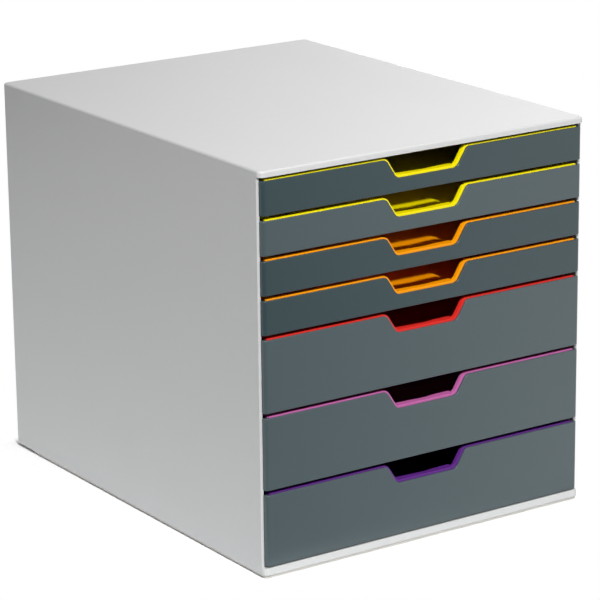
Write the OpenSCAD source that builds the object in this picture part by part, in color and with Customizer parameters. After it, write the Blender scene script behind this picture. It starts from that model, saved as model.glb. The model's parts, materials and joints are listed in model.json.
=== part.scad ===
// Desktop drawer tower: a light grey housing with four low drawers over three tall ones.
// Origin at the bottom centre; +X right, +Y to the back, +Z up; millimetres.

/* [Housing] */
// Overall width
housing_w = 280; // [260:1:330]
// Overall depth, from the lips to the back
housing_d = 356; // [330:1:400]
// Overall height, on the table
housing_h = 292; // [280:1:340]
// Radius of the upright corners, and how far the lips stand out ahead of the side walls
corner_r = 4.5; // [4:0.5:8]
// Wall thickness of the sides and the back
wall_t = 2.5; // [2:0.1:3]
// Height of the top panel's edge
top_h = 4.5; // [4:0.1:8]
// Rounding along the top panel's upper edge
top_edge_r = 1.6; // [0.6:0.1:2]
// Height of the base panel's edge
base_h = 5.7; // [5:0.1:9]
// Rounding along the base panel's lower edge
base_edge_r = 0.8; // [0.4:0.1:1.5]
// Skin thickness of the top and base panels
skin_t = 2.2; // [1.6:0.1:2.6]
// Thickness of the stiffening ribs inside the top and base panels
stiffener_t = 1.4; // [1:0.1:2]
// Spacing of the stiffening ribs
stiffener_pitch = 44; // [34:1:70]

/* [Back panel] */
// How far the side walls turn in behind the back panel
return_l = 8; // [5:0.5:15]
// How far the back panel's flange reaches behind the returns
back_overlap = 6; // [2:0.5:8]
// Thickness of the back panel's flange
back_flange_t = 1.6; // [1.2:0.1:2.4]
// Depth of the shallow field in the panel's outer face
back_field_t = 0.8; // [0.4:0.1:1.2]
// Width of the border round the field
back_border = 12; // [8:1:30]
// Radius of the field's corners
back_field_r = 8; // [4:1:20]

/* [Tabs] */
// Length of the tabs that locate the walls in the top and base panels
tab_l = 24; // [10:1:26]
// Thickness of the tabs
tab_t = 1.4; // [1:0.1:1.5]
// Width of the foot strip along the lower edge of a side wall
foot_strip_w = 4; // [3.5:0.1:5]
// Height of the foot strip
foot_strip_h = 2; // [1.5:0.1:3]

/* [Plinth and feet] */
// Height of the base panel's underside above the table
plinth_h = 2.4; // [1.6:0.1:5]
// How far the plinth rim stands back from the housing's edge
plinth_inset = 1.5; // [1:0.1:2]
// How far the plinth rim ends ahead of the back
plinth_rear_gap = 24; // [10:1:60]
// Width of the plinth rim's band
plinth_t = 3; // [2:0.5:4]
// Gap between the plinth rim and the table
plinth_lift = 0.4; // [0.2:0.1:0.8]
// Diameter of a rubber foot
foot_d = 14; // [10:1:20]
// How deep a foot sits in its seat
foot_seat = 1; // [0.6:0.1:1.5]
// Wall round a foot's seat
foot_wall = 2; // [1:0.5:3]
// Distance of the feet's centres from the sides
foot_side = 24; // [20:1:60]
// Distance of the feet's centres from the front and from the plinth's back
foot_end = 26; // [20:1:60]

/* [Drawers] */
// Number of low drawers, at the top
low_count = 4; // [1:1:4]
// Number of tall drawers, at the bottom
tall_count = 3; // [1:1:3]
// Height of a tall drawer, counted in low drawers
tall_units = 2; // [2:1:3]
// How far a drawer pulls out
travel = 250; // [120:1:255]

/* [Front panel] */
// Gap between the front panels of two drawers
panel_gap = 3.54; // [3.2:0.01:4]
// Gap under a front panel, down to the bottom of its space
panel_drop = 0.9; // [0.6:0.1:1.1]
// How far the panel's ends stand in from the housing's sides
panel_side = 1.9; // [1:0.1:3]
// Thickness of the panel's face
panel_t = 2; // [1.6:0.1:2.2]
// Thickness of the panel's folded ends
panel_fold_t = 3.5; // [3:0.1:4.5]
// Thickness of the panel's folded lower edge
panel_sill_t = 1.5; // [1.2:0.1:2]
// How far the panel's face stands back from the lips
panel_set_back = 0.4; // [0:0.1:0.6]
// Radius of the panel's upright ends, seen from above
panel_end_r = 3; // [1.8:0.1:3.4]
// Diameter of the pegs that hold the panel on its tray
peg_d = 4; // [3:0.5:5]
// Distance of the inner pegs from the middle
peg_inner_x = 62; // [54:1:80]
// Distance of the outer pegs from the middle
peg_outer_x = 112; // [90:1:115]
// Height of the lowest pegs in the drawer's space
peg_z = 13; // [9:0.5:16]

/* [Grip notch] */
// Width at the top
notch_top_w = 70; // [60:1:90]
// Width at the bottom
notch_bottom_w = 52; // [36:1:56]
// Depth
notch_h = 14; // [11:0.5:15]
// Radius of the notch's lower corners
notch_r = 6; // [4.5:0.1:7]
// Radius of the shoulders, where the notch meets the panel's upper edge
shoulder_r = 4.5; // [3:0.1:6]
// How far the coloured edge shows above the slate panel
reveal = 0.7; // [0.4:0.1:1]
// How far the coloured edge shows inside the slate panel's notch
notch_reveal = 1.5; // [1:0.1:2]
// Thickness of the coloured ledge along the notch's floor
ledge_t = 1.6; // [1.2:0.1:2]
// Depth of the ledge at its two ends
ledge_deep = 6.6; // [6.5:0.1:8]
// Depth of the ledge where its step starts
ledge_shallow = 4.8; // [4:0.1:5.2]
// Depth of the ledge where its step ends
ledge_mid = 6; // [5.7:0.1:6.3]
// Where the step starts, from the middle
ledge_step_start = 2.5; // [0:0.5:4]
// Where the step ends, from the middle
ledge_step_end = 10; // [9:0.5:12]
// Radius of the step's two bends
ledge_step_r = 24; // [5:1:30]

/* [Tray] */
// Wall thickness of the tray
tray_t = 1.6; // [1.2:0.1:2]
// Gap under the tray, down to the bottom of its space
tray_lift = 0.6; // [0.5:0.1:1.5]
// Radius of the tray's upright corners
tray_r = 8; // [5:0.5:15]
// Width of the window in the tray's floor, behind the grip ledge
window_w = 66; // [40:1:90]
// Length of the window, from the front to the back
window_l = 22; // [12:1:30]
// Distance from the tray's front wall to the window
window_start = 4; // [3:0.5:10]
// Radius of the window's corners
window_r = 5; // [2:0.5:6]
// How far the rim starts behind the tray's front wall
rim_start = 6; // [1:0.5:12]
// Radius of the rim's front corners
rim_front_r = 3; // [1:0.5:4]
// Rounding along the tray's lower edge
tray_edge_r = 3; // [2.1:0.1:4.5]
// Radius of the corners of the tray's front wall, seen from the front
front_wall_r = 0.8; // [0.4:0.1:1.2]
// Gap between the tray's rim and the back panel
tray_rear_gap = 2; // [1:0.5:20]
// How far the rim stands out behind the tray
rear_rim = 3; // [1:0.5:6]
// Length of the pull-out lugs and stops
stop_l = 6; // [4:1:10]

/* [Runners] */
// How far the runner ribs stand out of the side walls
rib_w = 6; // [4.5:0.5:8]
// Thickness of the rib that carries a tray
rib_t = 2; // [1.5:0.1:3]
// How far the ribs start behind the tray's front wall
rib_start = 4.2; // [3:0.1:10]
// How far the ribs end ahead of the back panel
rib_end = 3; // [2:0.5:20]
// Length of the slanted lead-in at the front of a rib
rib_lead = 4; // [2:0.5:8]

/* [Clearances] */
// Between a tray's rim and the ribs above and below it
run_gap = 0.3; // [0.25:0.05:0.4]
// Between a tray's rim and the side walls
side_gap = 0.6; // [0.4:0.1:1]
// Between a tray's tub and the ribs
tub_gap = 0.8; // [0.5:0.1:1.2]
// Between the pull-out lugs and what lies above them
lug_gap = 0.35; // [0.3:0.05:0.45]
// Between the panel's folds and the side walls' front edges
front_gap = 0.5; // [0.4:0.1:0.7]
// Between the panel's folds and the tray's front wall
nest_gap = 0.3; // [0.1:0.1:0.4]
// Round a peg, a tab or a foot in its seat
fit_gap = 0.1; // [0.05:0.05:0.15]

/* [Hidden] */
$fn = 64;
cut = 1;
arc_gap = 0.0003;
corner_reach = 1.1;
housing_color = [0.78, 0.79, 0.79];
plinth_color = [0.55, 0.54, 0.51];
rubber_color = [0.12, 0.12, 0.12];
panel_color = [0.29, 0.33, 0.35];
yellow = [1.00, 0.86, 0.00];
orange = [1.00, 0.50, 0.00];
red = [0.85, 0.12, 0.10];
lilac = [0.80, 0.42, 0.70];
violet = [0.38, 0.12, 0.55];
low_colors = [yellow, yellow, orange, orange];
tall_colors = [red, lilac, violet];
function tray_color(i) = i < low_count ? low_colors[i] : tall_colors[i - low_count];

// Heights; a low drawer takes one pitch
bay_z = plinth_h + base_h;
top_z = housing_h - top_h;
drawer_count = low_count + tall_count;
low_pitch = (top_z - bay_z) / (low_count + tall_count * tall_units);
function units(i) = i < low_count ? 1 : tall_units;
function low_above(i) = min(i + 1, low_count) + tall_units * max(0, i + 1 - low_count);
function drawer_z(i) = top_z - low_pitch * low_above(i);
rim_drop = panel_gap - panel_drop - reveal;
function rim_h(i) = low_pitch * units(i) - rim_drop;
guide_t = rim_drop - run_gap - fit_gap;
lug_h = rim_drop - lug_gap;

// Depths, from the front to the back
front_y = -housing_d / 2;
rear_y = housing_d / 2;
wall_front_y = front_y + corner_r;
wall_rear_y = rear_y - corner_r;
panel_y = front_y + panel_set_back;
seat_y = panel_y + panel_t;
fold_y = wall_front_y - front_gap;
tub_front_y = fold_y + fit_gap;
inside_front_y = tub_front_y + tray_t;
rim_front_y = inside_front_y + rim_start;
window_y = inside_front_y + window_start;
back_y = rear_y - wall_t;
flange_y = back_y - back_flange_t;
rim_rear_y = flange_y - tray_rear_gap;
tub_rear_y = rim_rear_y - rear_rim;
rib_front_y = inside_front_y + rib_start;
rib_rear_y = flange_y - rib_end;
stop_y = rib_front_y + rib_lead;
lug_y = stop_y + stop_l + travel + run_gap;

// Widths, from the middle out
inner_x = housing_w / 2 - wall_t;
rim_x = inner_x - side_gap;
rib_x = inner_x - rib_w;
tub_x = rib_x - tub_gap;
stop_x = tub_x - tray_t;
return_x = housing_w / 2 - corner_r - return_l;
panel_x = housing_w / 2 - panel_side;
fold_x = panel_x - panel_fold_t;
front_wall_x = fold_x - nest_gap;
strip_x = inner_x - foot_strip_w;

// Stiffeners stand half a pitch off the middle, and tabs stand between two of them
reach_x = inner_x - 2 * foot_strip_w;
reach_y = wall_rear_y - stiffener_t;
stiffener_n = ceil(housing_d / stiffener_pitch / 2);
stiffeners = [for (k = [-stiffener_n : stiffener_n - 1]) (k + 0.5) * stiffener_pitch];
tab_every = 2;
tab_cell_y = floor((wall_rear_y - tab_l) / stiffener_pitch);
tab_cell_x = floor((return_x - tab_l / 2) / stiffener_pitch);
side_tabs = [for (k = [-tab_cell_y : tab_every : tab_cell_y]) k * stiffener_pitch];
back_tabs = [for (k = [-tab_cell_x : tab_every : tab_cell_x]) k * stiffener_pitch];
top_tab_h = top_h - skin_t - 2 * fit_gap;
base_tab_h = skin_t + fit_gap;

// Feet
foot_x = housing_w / 2 - foot_side;
foot_front_y = front_y + foot_end;
foot_rear_y = rear_y - plinth_rear_gap - foot_end;
foot_chamfer = 0.5;

// ---- Shared shapes ----

// Extrudes an outline drawn in X and Z along Y
module along_y(y0, y1) {
    translate([0, y1, 0]) rotate([90, 0, 0]) linear_extrude(y1 - y0) children();
}

module mirrored_x() {
    children();
    mirror([1, 0, 0]) children();
}

function unit(v) = v / norm(v);
function turn(p, q, s) = (q[0] - p[0]) * (s[1] - q[1]) - (q[1] - p[1]) * (s[0] - q[0]);
function half_angle(u, v) = acos(u * v) / 2;

// One corner of an outline as [corner, arc start, arc end, arc centre, radius, convex]
function corner_of(p, q, s, r) =
    let (u = unit(p - q), v = unit(s - q), h = half_angle(u, v), t = r / tan(h))
    [q, q + u * t, q + v * t, q + unit(u + v) * r / sin(h), r, turn(p, q, s) > 0];

// What an arc leaves over of a corner, drawn a little past the sides on either hand.
// The arc is wider by arc_gap, so that it meets the sides at a clear crossing.
module corner_rest(c) {
    centre = c[3];
    difference() {
        polygon([for (p = [centre, c[1], c[0], c[2]]) centre + corner_reach * (p - centre)]);
        translate(centre) circle(c[4] + arc_gap);
    }
}

// An outline, counter-clockwise, whose corners have their own radii
module rounded_outline(points, radii) {
    n = len(points);
    corners = [for (i = [0 : n - 1]) if (radii[i] > 0)
        corner_of(points[(i + n - 1) % n], points[i], points[(i + 1) % n], radii[i])];
    difference() {
        union() {
            polygon(points);
            for (c = corners) if (!c[5]) corner_rest(c);
        }
        for (c = corners) if (c[5]) corner_rest(c);
    }
}

function box_points(x0, y0, x1, y1) = [[x0, y0], [x1, y0], [x1, y1], [x0, y1]];

// A slab on Z = 0 with rounded upright corners and a rounded upper edge
module edged_slab(w, d, h, r, edge_r) {
    module edge_strip(l) {
        square([l - edge_r, h]);
        square([l, h - edge_r]);
        translate([l - edge_r, h - edge_r]) circle(edge_r);
    }
    x = w / 2 - r;
    y = d / 2 - r;
    for (k = [0 : 3]) {
        translate([(k == 0 || k == 3) ? x : -x, k < 2 ? y : -y, 0])
            rotate([0, 0, 90 * k])
                rotate_extrude(angle = 90) edge_strip(r);
    }
    for (k = [0, 1]) {
        rotate([0, 0, 180 * k])
            translate([-x, y, 0]) rotate([90, 0, 90]) linear_extrude(2 * x) edge_strip(r);
        rotate([0, 0, 180 * k])
            along_y(-y, y) edge_strip(w / 2);
    }
}

// ---- Housing ----

// The plan of a side wall: straight, round the rear corner, and back along the rear
module wall_plan() {
    x = housing_w / 2 - corner_r;
    difference() {
        union() {
            translate([inner_x, wall_front_y]) square([wall_t, wall_rear_y - wall_front_y]);
            intersection() {
                translate([x, wall_rear_y]) circle(corner_r);
                translate([x, wall_rear_y]) square(corner_r);
            }
            translate([return_x, back_y]) square([return_l, wall_t]);
        }
        translate([x, wall_rear_y]) circle(corner_r - wall_t);
    }
}

// The plan of a runner rib, with a slanted lead-in at the front
module rib_plan() {
    polygon([
        [inner_x + wall_t / 2, rib_front_y],
        [inner_x + wall_t / 2, rib_rear_y],
        [rib_x, rib_rear_y],
        [rib_x, rib_front_y + rib_lead],
        [rib_x + rib_w / 2, rib_front_y]
    ]);
}

// The groove that one tray runs in: a rib below its rim, one above it, and the pull-out stop
module runner(i) {
    rim_z = drawer_z(i) + rim_h(i);
    translate([0, 0, rim_z - tray_t - run_gap - rib_t]) linear_extrude(rib_t) rib_plan();
    translate([0, 0, rim_z + run_gap]) linear_extrude(guide_t) rib_plan();
    translate([stop_x, stop_y, rim_z + run_gap])
        cube([inner_x - stop_x, stop_l, guide_t]);
}

module side_wall() {
    color(housing_color) {
        translate([0, 0, bay_z]) linear_extrude(top_z - bay_z) wall_plan();
        for (i = [0 : drawer_count - 1]) runner(i);
        translate([strip_x, rib_front_y, bay_z])
            cube([foot_strip_w + wall_t / 2, rib_rear_y - rib_front_y, foot_strip_h]);
        for (y = side_tabs) {
            translate([inner_x - fit_gap - tab_t, y - tab_l / 2, top_z - guide_t])
                cube([tab_t, tab_l, guide_t + top_tab_h]);
            translate([strip_x + fit_gap, y - tab_l / 2, bay_z - base_tab_h])
                cube([tab_t, tab_l, base_tab_h + foot_strip_h / 2]);
        }
    }
}

module side_wall_right() side_wall();

module side_wall_left() mirror([1, 0, 0]) side_wall();

// Crossed ribs on the inside of a panel's skin
module stiffening(z, h) {
    for (x = [for (s = stiffeners) if (abs(s) < reach_x) s])
        translate([x - stiffener_t / 2, wall_front_y - cut, z])
            cube([stiffener_t, back_y - wall_front_y + 2 * cut, h]);
    for (y = [for (s = stiffeners) if (abs(s) < reach_y) s])
        translate([-inner_x - cut, y - stiffener_t / 2, z])
            cube([2 * (inner_x + cut), stiffener_t, h]);
}

// The hollow of the top and base panels, open on one side
module panel_hollow(h) {
    linear_extrude(h)
        rounded_outline(
            box_points(-inner_x, wall_front_y, inner_x, back_y),
            [for (k = [0 : 3]) corner_r - wall_t]
        );
}

module top_panel() {
    color(housing_color) translate([0, 0, top_z]) {
        difference() {
            edged_slab(housing_w, housing_d, top_h, corner_r, top_edge_r);
            translate([0, 0, -cut]) panel_hollow(top_h - skin_t + cut);
        }
        stiffening(0, top_h - skin_t + skin_t / 2);
    }
}

module foot_places() {
    for (x = [-foot_x, foot_x])
        for (y = [foot_front_y, foot_rear_y]) translate([x, y, 0]) children();
}

module base_panel() {
    hollow_h = base_h - skin_t;
    color(housing_color) difference() {
        union() {
            difference() {
                translate([0, 0, bay_z]) mirror([0, 0, 1])
                    edged_slab(housing_w, housing_d, base_h, corner_r, base_edge_r);
                translate([0, 0, plinth_h - cut]) panel_hollow(hollow_h + cut);
            }
            stiffening(plinth_h, hollow_h + skin_t / 2);
            foot_places() translate([0, 0, plinth_h])
                cylinder(d = foot_d + 2 * foot_wall, h = hollow_h + skin_t / 2);
        }
        foot_places() translate([0, 0, plinth_h - cut])
            cylinder(d = foot_d + 2 * fit_gap, h = foot_seat + cut);
        mirrored_x()
            for (y = side_tabs)
                translate([strip_x, y - tab_l / 2 - fit_gap, bay_z - skin_t - cut])
                    cube([tab_t + 2 * fit_gap, tab_l + 2 * fit_gap, skin_t + 2 * cut]);
        for (x = back_tabs)
            translate([x - tab_l / 2 - fit_gap, flange_y - fit_gap, bay_z - skin_t - cut])
                cube([tab_l + 2 * fit_gap, back_flange_t, skin_t + 2 * cut]);
    }
}

module back_panel() {
    plate_x = return_x - fit_gap;
    flange_x = return_x + back_overlap;
    tab_depth = back_flange_t - 2 * fit_gap;
    field_x = plate_x - back_border;
    color(housing_color) {
        difference() {
            translate([-plate_x, back_y, bay_z]) cube([2 * plate_x, wall_t, top_z - bay_z]);
            along_y(rear_y - back_field_t, rear_y + cut) rounded_outline(
                box_points(-field_x, bay_z + back_border, field_x, top_z - back_border),
                [for (k = [0 : 3]) back_field_r]
            );
        }
        translate([-flange_x, flange_y, bay_z])
            cube([2 * flange_x, back_flange_t, top_z - bay_z]);
        for (x = back_tabs)
            translate([x - tab_l / 2, flange_y, bay_z - base_tab_h])
                cube([tab_l, tab_depth, base_tab_h + top_z - bay_z + top_tab_h]);
    }
}

module plinth_rim() {
    x = housing_w / 2 - plinth_inset;
    y0 = front_y + plinth_inset;
    y1 = rear_y - plinth_rear_gap;
    r = corner_r - plinth_inset;
    color(plinth_color) translate([0, 0, plinth_lift]) linear_extrude(plinth_h - plinth_lift)
        difference() {
            rounded_outline(box_points(-x, y0, x, y1), [r, r, r, r]);
            translate([-x + plinth_t, y0 + plinth_t])
                square([2 * (x - plinth_t), y1 - y0 - 2 * plinth_t]);
        }
}

module rubber_feet() {
    r = foot_d / 2;
    color(rubber_color) foot_places() rotate_extrude() polygon([
        [0, 0],
        [r - foot_chamfer, 0],
        [r, foot_chamfer],
        [r, plinth_h + foot_seat],
        [0, plinth_h + foot_seat]
    ]);
}

// ---- Drawers ----

// Half the notch's width at height h over its floor, with its outline drawn in by inset
notch_slope = atan((notch_top_w - notch_bottom_w) / 2 / notch_h);
function notch_half(h, inset) =
    notch_bottom_w / 2 + h * tan(notch_slope) - inset / cos(notch_slope);

// A drawer front seen from the front: a rectangle with the grip notch in its upper edge.
// inset draws the notch in and lifts its floor, so that two outlines nest one in the other.
module front_outline(x, z0, z1, floor_z, inset, corner) {
    top = notch_half(z1 - floor_z, inset);
    bottom = notch_half(inset, inset);
    z = floor_z + inset;
    rounded_outline(
        [[-x, z0], [x, z0], [x, z1], [top, z1], [bottom, z], [-bottom, z], [-top, z1], [-x, z1]],
        [
            corner, corner, corner, shoulder_r + inset,
            notch_r - inset, notch_r - inset, shoulder_r + inset, corner
        ]
    );
}

// The ledge seen from above: it narrows from its left end, then widens by a soft step
module ledge_plan() {
    x = notch_half(notch_reveal, notch_reveal);
    rounded_outline(
        [
            [-x, tub_front_y],
            [x, tub_front_y],
            [x, seat_y + ledge_deep],
            [ledge_step_end, seat_y + ledge_mid],
            [ledge_step_start, seat_y + ledge_shallow],
            [-x, seat_y + ledge_deep]
        ],
        [0, 0, 0, ledge_step_r, ledge_step_r, 0]
    );
}

function panel_top(i) = rim_h(i) - reveal;
function notch_floor(i) = panel_top(i) - notch_h;

module peg_places(i) {
    for (row = [0 : units(i) - 1])
        for (x = [-peg_outer_x, -peg_inner_x, peg_inner_x, peg_outer_x])
            translate([x, 0, peg_z + row * low_pitch]) children();
}

module panel_face(i) {
    intersection() {
        along_y(panel_y, fold_y)
            front_outline(panel_x, panel_drop, panel_top(i), notch_floor(i), 0, 0);
        linear_extrude(rim_h(i))
            rounded_outline(
                box_points(-panel_x, panel_y, panel_x, fold_y),
                [panel_end_r, panel_end_r, 0, 0]
            );
    }
}

// A front panel in its drawer's space, folded back at its ends and its lower edge
module front_panel(i) {
    sill_z = panel_drop + panel_sill_t;
    color(panel_color) translate([0, 0, drawer_z(i)]) {
        difference() {
            panel_face(i);
            translate([-fold_x, seat_y, sill_z])
                cube([2 * fold_x, fold_y - seat_y + cut, rim_h(i)]);
        }
        peg_places(i) along_y(seat_y - panel_t / 2, inside_front_y - fit_gap) circle(d = peg_d);
    }
}

// The tub's outer or inner form: upright corners and a rounded lower edge
module tub_form(y0, y1, x, z0, z1, r, edge_r) {
    translate([0, (y0 + y1) / 2, z1]) mirror([0, 0, 1])
        edged_slab(2 * x, y1 - y0, z1 - z0, r, edge_r);
}

module tray_front(i) {
    front_outline(
        front_wall_x, panel_drop + panel_sill_t + nest_gap,
        rim_h(i), notch_floor(i), notch_reveal, front_wall_r
    );
}

// The tub, cut open where the notch and the window are, with the rim that runs in the side walls' grooves
module tub(i) {
    h = rim_h(i);
    rim_r = tray_r + rim_x - tub_x;
    difference() {
        union() {
            tub_form(tub_front_y, tub_rear_y, tub_x, tray_lift, h, tray_r, tray_edge_r);
            translate([0, 0, h - tray_t]) linear_extrude(tray_t)
                rounded_outline(
                    box_points(-rim_x, rim_front_y, rim_x, rim_rear_y),
                    [rim_front_r, rim_front_r, rim_r, rim_r]
                );
        }
        tub_form(
            inside_front_y, tub_rear_y - tray_t, stop_x,
            tray_lift + tray_t, h + cut, tray_r - tray_t, tray_edge_r - tray_t
        );
        translate([0, 0, tray_lift - cut]) linear_extrude(tray_t + 2 * cut)
            rounded_outline(
                box_points(-window_w / 2, window_y, window_w / 2, window_y + window_l),
                [for (k = [0 : 3]) window_r]
            );
        along_y(tub_front_y - cut, inside_front_y + cut) difference() {
            translate([-notch_top_w, notch_floor(i)]) square([2 * notch_top_w, notch_h + 2 * cut]);
            tray_front(i);
        }
    }
}

// A tray in its drawer's space
module tray(i) {
    color(tray_color(i)) translate([0, 0, drawer_z(i)]) {
        difference() {
            union() {
                tub(i);
                along_y(seat_y, inside_front_y) tray_front(i);
            }
            peg_places(i)
                along_y(seat_y - cut, inside_front_y + cut) circle(d = peg_d + 2 * fit_gap);
        }
        translate([0, 0, notch_floor(i) + notch_reveal - ledge_t])
            linear_extrude(ledge_t) ledge_plan();
        mirrored_x() translate([stop_x, lug_y, rim_h(i) - tray_t / 2])
            cube([tray_t, stop_l, tray_t / 2 + lug_h]);
    }
}

for (i = [0 : drawer_count - 1]) {
    tray(i);
    front_panel(i);
}
side_wall_left();
side_wall_right();
top_panel();
base_panel();
back_panel();
plinth_rim();
rubber_feet();
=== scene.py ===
"""A desktop drawer tower: a pale housing and seven drawers, dressed round the CAD frame."""

import json
import logging
import math
from dataclasses import dataclass
from enum import Enum
from typing import Any, Mapping, Union

import bmesh
import bpy
from mathutils import Matrix, Vector

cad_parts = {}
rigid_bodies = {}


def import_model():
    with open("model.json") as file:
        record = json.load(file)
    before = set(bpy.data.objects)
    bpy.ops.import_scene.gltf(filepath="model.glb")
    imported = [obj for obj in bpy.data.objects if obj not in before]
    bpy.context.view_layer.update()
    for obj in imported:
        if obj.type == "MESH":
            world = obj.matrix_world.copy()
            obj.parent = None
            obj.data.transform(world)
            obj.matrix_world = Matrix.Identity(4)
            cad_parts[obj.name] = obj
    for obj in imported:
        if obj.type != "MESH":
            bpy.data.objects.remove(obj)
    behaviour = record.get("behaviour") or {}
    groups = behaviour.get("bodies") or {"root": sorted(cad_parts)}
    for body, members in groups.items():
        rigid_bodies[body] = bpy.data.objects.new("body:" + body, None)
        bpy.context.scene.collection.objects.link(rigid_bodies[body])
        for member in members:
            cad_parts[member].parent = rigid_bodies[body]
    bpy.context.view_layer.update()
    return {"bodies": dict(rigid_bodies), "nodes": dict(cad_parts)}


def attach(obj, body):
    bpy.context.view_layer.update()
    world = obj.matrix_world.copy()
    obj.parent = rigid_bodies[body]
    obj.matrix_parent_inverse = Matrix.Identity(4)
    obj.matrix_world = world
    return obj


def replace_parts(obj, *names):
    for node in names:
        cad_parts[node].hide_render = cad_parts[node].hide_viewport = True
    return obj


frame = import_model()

log = logging.getLogger("drawer_tower")

MM = 0.001

Colour = tuple[float, float, float]
Point = tuple[float, float, float]

WHITE = (1.0, 1.0, 1.0, 1.0)


# ---- Shader maths ----


class Value:
    """A shader socket that takes part in Python expressions."""

    def __init__(self, sheet: "ShaderSheet", socket: bpy.types.NodeSocket) -> None:
        """Wraps a socket.

        Args:
            sheet: The node sheet that the socket is on.
            socket: The output socket that carries the value.
        """
        self.sheet = sheet
        self.socket = socket

    def _math(self, operation: str, first: "Number", second: "Number") -> "Value":
        """Adds one Math node.

        Args:
            operation: The Math node's operation.
            first: The node's first input.
            second: The node's second input.

        Returns:
            The node's result.
        """
        made = self.sheet.node("ShaderNodeMath", {"operation": operation}, {0: first, 1: second})
        return Value(self.sheet, made.outputs[0])

    def __add__(self, other: "Number") -> "Value":
        """The sum with another value."""
        return self._math("ADD", self, other)

    def __radd__(self, other: "Number") -> "Value":
        """The sum, with this value on the right."""
        return self._math("ADD", other, self)

    def __sub__(self, other: "Number") -> "Value":
        """The difference from another value."""
        return self._math("SUBTRACT", self, other)

    def __rsub__(self, other: "Number") -> "Value":
        """The difference, with this value on the right."""
        return self._math("SUBTRACT", other, self)

    def __mul__(self, other: "Number") -> "Value":
        """The product with another value."""
        return self._math("MULTIPLY", self, other)

    def __rmul__(self, other: "Number") -> "Value":
        """The product, with this value on the right."""
        return self._math("MULTIPLY", other, self)

    def __pow__(self, other: "Number") -> "Value":
        """This value raised to a power."""
        return self._math("POWER", self, other)

    def __abs__(self) -> "Value":
        """This value without its sign."""
        return self._math("ABSOLUTE", self, 0.0)

    def at_most(self, other: "Number") -> "Value":
        """The smaller of this value and another."""
        return self._math("MINIMUM", self, other)

    def at_least(self, other: "Number") -> "Value":
        """The larger of this value and another."""
        return self._math("MAXIMUM", self, other)

    def step(self, low: float, high: float, eased: bool = True) -> "Value":
        """Turns this value to 0 at low and below, and to 1 at high and above.

        Args:
            low: Where the result is 0.
            high: Where the result is 1.
            eased: Whether the ends are rounded off.

        Returns:
            The stepped value.
        """
        made = self.sheet.node(
            "ShaderNodeMapRange",
            {"interpolation_type": "SMOOTHSTEP" if eased else "LINEAR"},
            {"Value": self, "From Min": low, "From Max": high},
        )
        return Value(self.sheet, made.outputs["Result"])


Number = Union[Value, float]


class ShaderSheet:
    """The node sheet of one material or of the world."""

    def __init__(self, tree: bpy.types.NodeTree) -> None:
        """Empties a node tree to build on.

        Args:
            tree: The tree of a material or of the world.
        """
        tree.nodes.clear()
        self.tree = tree

    def node(
        self,
        kind: str,
        settings: Mapping[str, Any] | None = None,
        inputs: Mapping[Union[str, int], Any] | None = None,
    ) -> bpy.types.Node:
        """Adds a node, sets it, and fills its sockets.

        Args:
            kind: The node's type.
            settings: The node's own properties, set before its sockets.
            inputs: Values or links by socket name or number.

        Returns:
            The new node.
        """
        made = self.tree.nodes.new(kind)
        for name, value in (settings or {}).items():
            setattr(made, name, value)
        for key, value in (inputs or {}).items():
            socket = made.inputs[key]
            if isinstance(value, Value):
                self.tree.links.new(value.socket, socket)
            elif isinstance(value, bpy.types.NodeSocket):
                self.tree.links.new(value, socket)
            else:
                socket.default_value = value
        return made

    def coordinates(self, stretch: Point = (1.0, 1.0, 1.0)) -> bpy.types.NodeSocket:
        """The object's own coordinates, stretched along its axes.

        Args:
            stretch: The scale along X, Y and Z.

        Returns:
            A vector socket.
        """
        place = self.node("ShaderNodeTexCoord").outputs["Object"]
        made = self.node("ShaderNodeMapping", {}, {"Vector": place, "Scale": stretch})
        return made.outputs["Vector"]

    def along(self, direction: Point) -> Value:
        """How far a point of the object lies along a direction.

        Args:
            direction: What X, Y and Z are multiplied by before they are summed.

        Returns:
            The sum.
        """
        made = self.node(
            "ShaderNodeVectorMath",
            {"operation": "DOT_PRODUCT"},
            {0: self.coordinates(), 1: direction},
        )
        return Value(self, made.outputs["Value"])

    def noise(
        self,
        scale: float,
        detail: float = 2.0,
        roughness: float = 0.5,
        stretch: Point = (1.0, 1.0, 1.0),
    ) -> Value:
        """Soft noise from 0 to 1, fixed to the object.

        Args:
            scale: Waves per metre.
            detail: How many finer layers it has.
            roughness: How strong the finer layers are.
            stretch: The scale along X, Y and Z.

        Returns:
            The noise.
        """
        made = self.node(
            "ShaderNodeTexNoise",
            {"noise_dimensions": "3D"},
            {
                "Vector": self.coordinates(stretch),
                "Scale": scale,
                "Detail": detail,
                "Roughness": roughness,
            },
        )
        return Value(self, made.outputs["Fac"])

    def blend(self, share: Number, first: Colour, second: Colour) -> bpy.types.NodeSocket:
        """Mixes two colours.

        Args:
            share: 0 for the first colour, 1 for the second.
            first: A linear colour.
            second: A linear colour.

        Returns:
            A colour socket.
        """
        made = self.node(
            "ShaderNodeMix",
            {"data_type": "RGBA", "clamp_factor": True},
            {0: share, 6: (*first, 1.0), 7: (*second, 1.0)},
        )
        return made.outputs[2]

    def relief(self, height: Number, depth: float) -> bpy.types.NodeSocket:
        """Turns a height into a bumped normal.

        Args:
            height: The height, from 0 to 1.
            depth: What a height of 1 stands for, in metres.

        Returns:
            A normal socket.
        """
        made = self.node(
            "ShaderNodeBump", {}, {"Height": height, "Distance": depth, "Strength": 1.0}
        )
        return made.outputs["Normal"]


def shade(colour: Colour, factor: float) -> Colour:
    """A colour made lighter or darker.

    Args:
        colour: A linear colour.
        factor: What its channels are multiplied by.

    Returns:
        The new colour, at most white.
    """
    return tuple(min(1.0, channel * factor) for channel in colour)


# ---- Finishes ----


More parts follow.
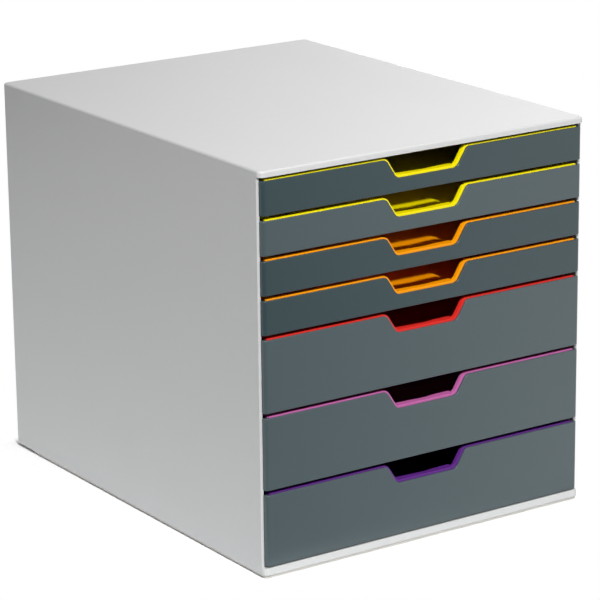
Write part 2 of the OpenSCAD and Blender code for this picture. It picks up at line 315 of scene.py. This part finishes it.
@dataclass(frozen=True)
class MouldedPlastic:
    """Injection-moulded plastic with a fine grain, flow marks and signs of handling."""

    name: str
    colour: Colour
    gloss_roughness: float
    grain_scale: float = 1500.0
    grain_depth: float = 0.006 * MM
    mottle: float = 0.012
    flow_scale: float = 14.0
    flow_stretch: Point = (1.0, 0.25, 1.0)
    roughness_swing: float = 0.06
    specular: float = 0.5
    handling_scale: float = 60.0
    handling_stretch: Point = (1.0, 2.2, 0.7)
    flow_tint: float = 0.8
    flow_relief: float = 0.6

    def material(self) -> bpy.types.Material:
        """Builds the material.

        Returns:
            The material, ready to assign.
        """
        made = bpy.data.materials.new(self.name)
        made.use_nodes = True
        sheet = ShaderSheet(made.node_tree)
        flow = sheet.noise(self.flow_scale, 3.0, 0.55, self.flow_stretch)
        grain = sheet.noise(self.grain_scale, 1.5)
        handling = sheet.noise(self.handling_scale, 4.0, 0.6, self.handling_stretch)
        tint = sheet.blend(
            flow * self.flow_tint + grain * (1.0 - self.flow_tint),
            shade(self.colour, 1.0 - self.mottle),
            shade(self.colour, 1.0 + self.mottle),
        )
        roughness = (
            self.gloss_roughness
            + (flow - 0.5) * self.roughness_swing
            + (handling - 0.5) * self.roughness_swing
        )
        shader = sheet.node(
            "ShaderNodeBsdfPrincipled",
            {},
            {
                "Base Color": tint,
                "Roughness": roughness,
                "Specular IOR Level": self.specular,
                "Normal": sheet.relief(grain + flow * self.flow_relief, self.grain_depth),
            },
        )
        sheet.node("ShaderNodeOutputMaterial", {}, {"Surface": shader.outputs["BSDF"]})
        return made


class TrayColour(Enum):
    """The colours that the trays come in, each with its slot name and linear colour."""

    YELLOW = ("yellow", (0.88, 0.75, 0.001))
    ORANGE = ("orange", (0.92, 0.32, 0.001))
    RED = ("red", (0.69, 0.024, 0.018))
    LILAC = ("lilac", (0.5, 0.122, 0.36))
    VIOLET = ("violet", (0.108, 0.022, 0.22))

    @property
    def slot(self) -> str:
        """The record's name for this finish."""
        return self.value[0]

    def finish(self) -> MouldedPlastic:
        """The tray's satin plastic in this colour."""
        return MouldedPlastic(
            f"tray_{self.slot}", self.value[1], 0.25, grain_depth=0.002 * MM,
            roughness_swing=0.03, specular=0.3,
        )


class SlatePaintedLight(Enum):
    """Two copies of the front panels' one slate plastic, each with its linear colour. They
    differ only by painted light: the pale copy carries a painted reflection of the floor, and
    the deep copy is the shaded one.
    """

    DEEP_SHADED = (0.029, 0.050, 0.056)
    PALE_REFLECTION_PAINTED = (0.057, 0.080, 0.087)

    def finish(self) -> MouldedPlastic:
        """The panel's satin plastic in this copy's colour, painted light included."""
        return MouldedPlastic(
            f"slate_{self.name.lower()}", self.value, 0.29, grain_scale=1900.0,
            grain_depth=0.002 * MM, mottle=0.015, roughness_swing=0.04,
        )


HOUSING_GREY = MouldedPlastic("housing_grey", (0.545, 0.55, 0.545), 0.33, grain_depth=0.004 * MM)
# The plinth rim's grey is partly its own colour and partly painted light: it is set lighter and
# warmer than the housing to offset the shade under the base's overhang.
PLINTH_GREY_PAINTED_LIGHT = MouldedPlastic("plinth_grey_painted_light", (0.62, 0.60, 0.55), 0.55)
RUBBER = MouldedPlastic(
    "foot_rubber", (0.03, 0.03, 0.03), 0.75, grain_depth=0.03 * MM, specular=0.3
)


# ---- Pieces ----


def finish_piece(
    piece: bpy.types.Object, body: str, material: bpy.types.Material
) -> bpy.types.Object:
    """Gives a piece its body and its material.

    Args:
        piece: The finished object.
        body: The CAD body that it rides on.
        material: What it is made of.

    Returns:
        The piece.
    """
    piece.data.materials.clear()
    piece.data.materials.append(material)
    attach(piece, body)
    return piece


@dataclass(frozen=True)
class EasedCopy:
    """A copy of a CAD node whose moulded edges are eased.

    The ease is the bevel's width. An edge level with a seam stays sharp, so that the joint
    line there stays tight. Where joined is set, flat neighbouring faces become one first.
    That mustn't be set for a node with a flat ring round an opening.
    """

    node: str
    ease: float
    steps: int = 2
    seams: tuple[float, ...] = ()
    joined: bool = True
    flat: float = math.radians(0.4)
    crease: float = math.radians(28.0)
    shading_crease: float = math.radians(40.0)
    weld: float = 0.002 * MM
    sliver: float = 0.0005 * MM
    seam_reach: float = 0.02 * MM
    room: float = 2.4
    same_way: float = 0.9

    def build(self) -> bpy.types.Object:
        """Copies, merges and eases the node's mesh, and stands it in for the node.

        Returns:
            The new piece, without a body or a material yet.
        """
        shape = bmesh.new()
        shape.from_mesh(frame["nodes"][self.node].data)
        bmesh.ops.remove_doubles(shape, verts=shape.verts, dist=self.weld)
        if self.joined:
            bmesh.ops.dissolve_limit(
                shape, angle_limit=self.flat, verts=shape.verts, edges=shape.edges,
                use_dissolve_boundaries=False, delimit=set(),
            )
        bmesh.ops.bevel(
            shape, geom=self._open_edges(shape), offset=self.ease, offset_type="OFFSET",
            affect="EDGES", segments=self.steps, profile=0.5, material=-1,
            clamp_overlap=False, loop_slide=True, face_strength_mode="ALL",
        )
        bmesh.ops.dissolve_degenerate(shape, dist=self.sliver, edges=shape.edges)
        for face in shape.faces:
            face.smooth = True
        for edge in shape.edges:
            edge.smooth = not self._sharp(edge, self.shading_crease)
        mesh = bpy.data.meshes.new(self.node + "_eased")
        shape.to_mesh(mesh)
        shape.free()
        piece = bpy.data.objects.new(self.node + "_eased", mesh)
        bpy.context.scene.collection.objects.link(piece)
        normals = piece.modifiers.new("normals", "WEIGHTED_NORMAL")
        normals.keep_sharp = True
        normals.use_face_influence = True
        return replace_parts(piece, self.node)

    @staticmethod
    def _sharp(edge: bmesh.types.BMEdge, angle: float) -> bool:
        """Whether the two faces at an edge turn by more than an angle."""
        return edge.is_manifold and edge.calc_face_angle(0.0) > angle

    def _open_edges(self, shape: bmesh.types.BMesh) -> list[bmesh.types.BMEdge]:
        """The sharp edges that have room for easing at both ends.

        Args:
            shape: The merged mesh.

        Returns:
            The edges to bevel.
        """
        sharp = {edge for edge in shape.edges if self._sharp(edge, self.crease)}
        return [
            edge for edge in shape.edges
            if edge in sharp and self._roomy(edge, sharp) and not self._on_seam(edge)
        ]

    def _roomy(self, edge: bmesh.types.BMEdge, sharp: set[bmesh.types.BMEdge]) -> bool:
        """Whether no short sharp edge leaves either end of an edge at an angle.

        Args:
            edge: The edge to ease.
            sharp: Every sharp edge of the mesh.

        Returns:
            True where the easing fits.
        """
        line = (edge.verts[1].co - edge.verts[0].co).normalized()
        for end in edge.verts:
            for other in end.link_edges:
                if other is edge or other not in sharp:
                    continue
                way = (other.verts[1].co - other.verts[0].co).normalized()
                short = other.calc_length() < self.room * self.ease
                if short and abs(way.dot(line)) < self.same_way:
                    return False
        return True

    def _on_seam(self, edge: bmesh.types.BMEdge) -> bool:
        """Whether an edge lies level with a seam that has to stay tight."""
        return any(
            all(abs(end.co.z - seam) < self.seam_reach for end in edge.verts)
            for seam in self.seams
        )


@dataclass
class Housing:
    """The grey housing with its plinth rim and rubber feet."""

    body: str = "housing"
    panels: tuple[str, ...] = (
        "side_wall_left", "side_wall_right", "top_panel", "base_panel", "back_panel",
    )
    plain_panels: tuple[str, ...] = ("back_panel",)
    ease: float = 0.3 * MM
    seams: tuple[float, ...] = (287.5 * MM, 8.1 * MM)

    def build(self) -> list[bpy.types.Object]:
        """Builds the housing's pieces.

        Returns:
            The pieces, dressed and on their body.
        """
        grey = HOUSING_GREY.material()
        made = [
            finish_piece(
                EasedCopy(
                    panel, self.ease, seams=self.seams, joined=panel in self.plain_panels
                ).build(),
                self.body, grey,
            )
            for panel in self.panels
        ]
        plinth = EasedCopy("plinth_rim", self.ease).build()
        made.append(finish_piece(plinth, self.body, PLINTH_GREY_PAINTED_LIGHT.material()))
        feet = EasedCopy("rubber_feet", self.ease).build()
        made.append(finish_piece(feet, self.body, RUBBER.material()))
        return made


@dataclass
class Drawer:
    """One drawer: a coloured tray with a slate panel pegged on its front."""

    number: int
    colour: TrayColour
    slate: bpy.types.Material
    tray_plastic: bpy.types.Material
    tray_ease: float = 0.26 * MM
    panel_ease: float = 0.55 * MM
    panel_steps: int = 3

    @property
    def body(self) -> str:
        """The CAD body that the drawer rides on."""
        return f"drawer_{self.number}"

    def build(self) -> list[bpy.types.Object]:
        """Builds the tray and its front panel.

        Returns:
            The two pieces, dressed and on their body.
        """
        tray = EasedCopy(f"tray_{self.number}", self.tray_ease, joined=False).build()
        panel = EasedCopy(
            f"front_panel_{self.number}", self.panel_ease, self.panel_steps
        ).build()
        return [
            finish_piece(tray, self.body, self.tray_plastic),
            finish_piece(panel, self.body, self.slate),
        ]


@dataclass
class DrawerStack:
    """The seven drawers, from the top down."""

    colours: tuple[TrayColour, ...] = (
        TrayColour.YELLOW, TrayColour.YELLOW, TrayColour.ORANGE, TrayColour.ORANGE,
        TrayColour.RED, TrayColour.LILAC, TrayColour.VIOLET,
    )
    # Painted reflection: drawers 2 and 5 to 7 take the lighter slate copy, drawers 1, 3 and 4
    # the shaded one; every panel is the same plastic.
    panel_painted_light: tuple[SlatePaintedLight, ...] = (
        SlatePaintedLight.DEEP_SHADED, SlatePaintedLight.PALE_REFLECTION_PAINTED, SlatePaintedLight.DEEP_SHADED, SlatePaintedLight.DEEP_SHADED,
        SlatePaintedLight.PALE_REFLECTION_PAINTED, SlatePaintedLight.PALE_REFLECTION_PAINTED, SlatePaintedLight.PALE_REFLECTION_PAINTED,
    )

    def build(self) -> list[bpy.types.Object]:
        """Builds every drawer.

        Returns:
            The drawers' pieces.
        """
        slates = {painted_light_copy: painted_light_copy.finish().material() for painted_light_copy in SlatePaintedLight}
        plastics = {colour: colour.finish().material() for colour in TrayColour}
        made: list[bpy.types.Object] = []
        for number, (colour, painted_light_copy) in enumerate(zip(self.colours, self.panel_painted_light), 1):
            made += Drawer(number, colour, slates[painted_light_copy], plastics[colour]).build()
        return made


# ---- Studio ----


@dataclass(frozen=True)
class Card:
    """A studio card that only reflections see, with a glow graded from end to end."""

    name: str
    corner: Point
    side: Point
    rise: Point
    glow: tuple[float, float]
    grading: Point
    graded: tuple[float, float]

    def build(self) -> None:
        """Builds the card and marks it as stage."""
        shape = bmesh.new()
        bmesh.ops.create_grid(shape, x_segments=1, y_segments=1, size=0.5)
        side, rise = Vector(self.side), Vector(self.rise)
        turn = Matrix((side, rise, side.cross(rise).normalized())).transposed().to_4x4()
        turn.translation = Vector(self.corner) + (side + rise) / 2
        bmesh.ops.transform(shape, matrix=turn, verts=shape.verts)
        mesh = bpy.data.meshes.new(self.name)
        shape.to_mesh(mesh)
        shape.free()
        card = bpy.data.objects.new(self.name, mesh)
        bpy.context.scene.collection.objects.link(card)
        made = bpy.data.materials.new(self.name)
        made.use_nodes = True
        sheet = ShaderSheet(made.node_tree)
        share = sheet.along(self.grading).step(*self.graded, eased=False)
        ends = [sheet.node("ShaderNodeEmission", {}, {"Strength": glow}) for glow in self.glow]
        light = sheet.node(
            "ShaderNodeMixShader", {}, {0: share, 1: ends[0].outputs[0], 2: ends[1].outputs[0]}
        )
        sheet.node("ShaderNodeOutputMaterial", {}, {"Surface": light.outputs[0]})
        mesh.materials.append(made)
        card.visible_camera = False
        card.visible_shadow = False
        card.visible_transmission = False
        card.visible_diffuse = False


@dataclass(frozen=True)
class Lamp:
    """A square lamp that faces the object.

    The key light hangs in front, above and to the left; the other one lights the back and
    the right side, which the photo doesn't show, and stands too low to reach the top.
    """

    name: str
    toward: Point
    distance: float
    size: float
    power: float
    target: Point = (0.0, 0.0, 0.15)

    def build(self) -> None:
        """Hangs the lamp."""
        lamp = bpy.data.lights.new(self.name, "AREA")
        lamp.shape = "SQUARE"
        lamp.size = self.size
        lamp.energy = self.power
        hung = bpy.data.objects.new(self.name, lamp)
        bpy.context.scene.collection.objects.link(hung)
        away = self.distance * Vector(self.toward)
        turn = away.to_track_quat("Z", "Y").to_matrix().to_4x4()
        hung.matrix_world = Matrix.Translation(Vector(self.target) + away) @ turn


@dataclass
class Studio:
    """A pale floor, an even sky, two lamps and reflection cards.

    The floor is a bright table round the object and dark beyond it for the light that it
    throws back. The camera and reflections see it pale, and plain white at a short way from
    the object, which leaves the shadow at its foot.
    """

    floor_half: float = 30.0
    floor_colour: Colour = (0.96, 0.96, 0.96)
    table_colour: Colour = (0.84, 0.85, 0.88)
    dark_colour: Colour = (0.1, 0.1, 0.1)
    footprint: tuple[float, float] = (140.0 * MM, 178.0 * MM)
    table_reach: tuple[float, float] = (0.15, 0.42)
    white_reach: tuple[float, float] = (0.0, 0.016)
    sky: float = 0.285
    lamps: tuple[Lamp, ...] = (
        Lamp("key", (-0.281, -0.703, 0.654), 2.6, 0.1, 74.0),
        Lamp("fill_behind", (0.62, 0.78, 0.0), 2.6, 0.24, 34.0, (0.0, 0.0, 0.13)),
    )
    cards: tuple[Card, ...] = (
        Card("card_behind_low", (-1.0, 1.2, 0.0), (4.6, 0.0, 0.0), (0.0, 0.0, 0.587),
             (0.0, 3.3), (1.65, 0.0, -1.9), (-0.943, 2.357)),
        Card("card_behind_high", (-1.0, 1.2, 0.587), (4.6, 0.0, 0.0), (0.0, 0.0, 1.2),
             (0.0, 3.6), (1.65, 0.0, -1.9), (-1.243, 2.357)),
        Card("card_front", (-3.0, -3.0, 0.004), (6.0, 0.0, 0.0), (0.0, 2.8, 0.0),
             (0.0, 1.25), (1.0, 0.671, 0.0), (-0.32, 0.05)),
    )

    def build(self) -> None:
        """Builds the floor, the world, the lights and the cards."""
        self._floor()
        self._world()
        for light in (*self.lamps, *self.cards):
            light.build()

    def _floor(self) -> None:
        """Lays the floor."""
        shape = bmesh.new()
        bmesh.ops.create_grid(shape, x_segments=8, y_segments=8, size=self.floor_half)
        mesh = bpy.data.meshes.new("floor")
        shape.to_mesh(mesh)
        shape.free()
        floor = bpy.data.objects.new("floor", mesh)
        bpy.context.scene.collection.objects.link(floor)
        made = bpy.data.materials.new("floor")
        made.use_nodes = True
        sheet = ShaderSheet(made.node_tree)
        beside = (abs(sheet.along((1.0, 0.0, 0.0))) - self.footprint[0]).at_least(0.0)
        before = (abs(sheet.along((0.0, 1.0, 0.0))) - self.footprint[1]).at_least(0.0)
        clear = (beside * beside + before * before) ** 0.5
        rays = sheet.node("ShaderNodeLightPath")
        seen = (
            Value(sheet, rays.outputs["Is Camera Ray"])
            + Value(sheet, rays.outputs["Is Glossy Ray"])
        ).at_most(1.0)
        table = sheet.node(
            "ShaderNodeBsdfDiffuse", {},
            {"Color": sheet.blend(
                clear.step(*self.table_reach), self.table_colour, self.dark_colour
            )},
        )
        paint = sheet.node("ShaderNodeBsdfDiffuse", {}, {"Color": (*self.floor_colour, 1.0)})
        white = sheet.node("ShaderNodeEmission", {}, {"Strength": 1.0})
        near = sheet.node(
            "ShaderNodeMixShader", {}, {0: seen, 1: table.outputs[0], 2: paint.outputs[0]}
        )
        mixed = sheet.node(
            "ShaderNodeMixShader", {},
            {
                0: clear.step(*self.white_reach) * seen,
                1: near.outputs[0],
                2: white.outputs[0],
            },
        )
        sheet.node("ShaderNodeOutputMaterial", {}, {"Surface": mixed.outputs[0]})
        mesh.materials.append(made)

    def _world(self) -> None:
        """Lights the scene evenly, and shows white to the camera and to reflections."""
        world = bpy.data.worlds.new("studio")
        bpy.context.scene.world = world
        world.use_nodes = True
        sheet = ShaderSheet(world.node_tree)
        rays = sheet.node("ShaderNodeLightPath")
        seen = (
            Value(sheet, rays.outputs["Is Camera Ray"])
            + Value(sheet, rays.outputs["Is Glossy Ray"])
            + Value(sheet, rays.outputs["Is Transmission Ray"])
        ).at_most(1.0)
        lit = sheet.node("ShaderNodeBackground", {}, {"Color": WHITE, "Strength": self.sky})
        white = sheet.node("ShaderNodeBackground", {}, {"Color": WHITE, "Strength": 1.0})
        light = sheet.node(
            "ShaderNodeMixShader", {}, {0: seen, 1: lit.outputs[0], 2: white.outputs[0]}
        )
        sheet.node("ShaderNodeOutputWorld", {}, {"Surface": light.outputs[0]})


@dataclass(frozen=True)
class PhotoCamera:
    """The camera where the photograph was taken from."""

    place: Point = (-1.1897, -1.7781, 0.7638)
    yaw: float = math.radians(34.049)
    pitch: float = math.radians(16.338)
    roll: float = math.radians(-0.653)
    focal_widths: float = 2952.0 / 600.0
    sensor: float = 36.0
    sight: float = 100.0

    def build(self) -> None:
        """Sets up the camera and makes it the scene's own."""
        forward = Vector((
            math.sin(self.yaw) * math.cos(self.pitch),
            math.cos(self.yaw) * math.cos(self.pitch),
            -math.sin(self.pitch),
        ))
        level = Vector((math.cos(self.yaw), -math.sin(self.yaw), 0.0))
        upright = level.cross(forward)
        right = math.cos(self.roll) * level + math.sin(self.roll) * upright
        up = math.cos(self.roll) * upright - math.sin(self.roll) * level
        lens = bpy.data.cameras.new("camera")
        lens.sensor_width = self.sensor
        lens.lens = self.focal_widths * self.sensor
        lens.clip_end = self.sight
        camera = bpy.data.objects.new("camera", lens)
        bpy.context.scene.collection.objects.link(camera)
        turn = Matrix((right, up, -forward)).transposed().to_4x4()
        camera.matrix_world = Matrix.Translation(self.place) @ turn
        bpy.context.scene.camera = camera


# ---- Scene ----


def clear_extras() -> None:
    """Removes whatever the start-up file holds besides the frame."""
    kept = set(frame["nodes"].values()) | set(frame["bodies"].values())
    for found in list(bpy.data.objects):
        if found not in kept:
            bpy.data.objects.remove(found)


def main() -> None:
    """Builds the scene, sub-assembly by sub-assembly."""
    logging.basicConfig(level=logging.INFO, format="%(name)s: %(message)s")
    clear_extras()
    bpy.context.scene.view_settings.view_transform = "Standard"
    PhotoCamera().build()
    Studio().build()
    for assembly in (Housing(), DrawerStack()):
        for piece in assembly.build():
            log.info("%s: %d faces", piece.name, len(piece.data.polygons))


if __name__ == "__main__":
    main()
